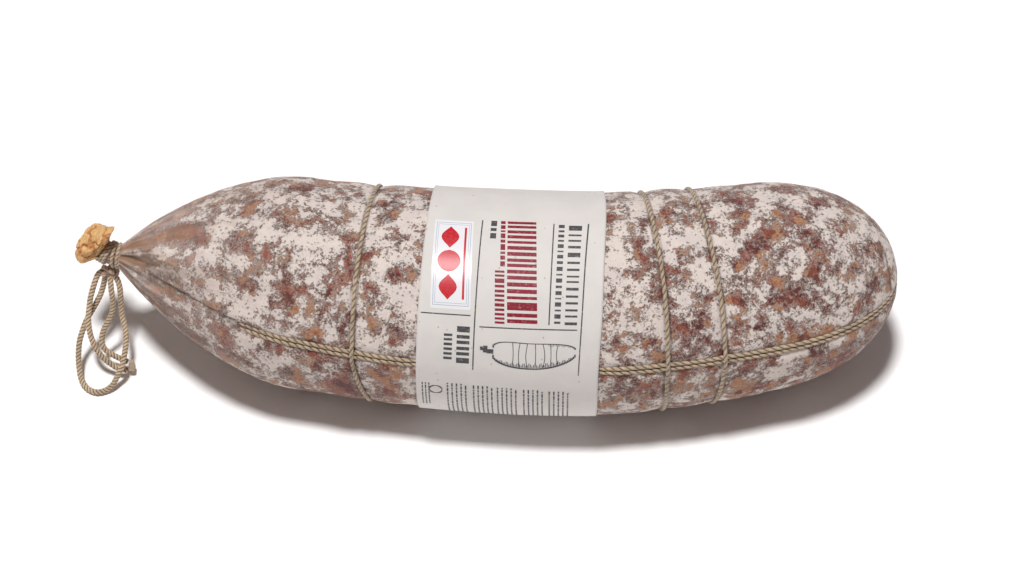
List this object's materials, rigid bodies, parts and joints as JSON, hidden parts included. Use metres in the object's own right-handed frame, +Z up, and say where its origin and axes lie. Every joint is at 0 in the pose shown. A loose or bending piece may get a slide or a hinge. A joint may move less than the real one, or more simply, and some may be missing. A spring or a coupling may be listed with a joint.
{
  "type": "cured sausage",
  "caption": "Whole salami in a mould-bloomed natural casing, tied with twine, with a paper band label and a hanging loop at its neck",
  "frame": {"origin": "at table height, under the middle of the box of everything but the free hanging cord", "axes": "+X runs along the body to its round end, -Y is the side with the print, +Z is up"},
  "size_m": [0.403, 0.1166, 0.1065],
  "materials": {
    "casing": "dry natural casing with a powdery white mould bloom over dark red meat",
    "label_paper": null,
    "twine": "twisted natural twine, dusted with mould near the neck",
    "cord": "twisted natural cord"
  },
  "bodies": {
    "root": {"salami": "casing", "paper_label": "label_paper", "ring_twine_1": "twine", "ring_twine_2": "twine", "ring_twine_3": "twine", "long_twine_upper": "twine", "long_twine_lower": "twine", "neck_binding": "twine", "hanging_knot": "cord", "hanging_loop": "cord", "cord_tail_left": "cord", "cord_tail_right": "cord", "cord_end": "cord"}
  },
  "joints": []
}
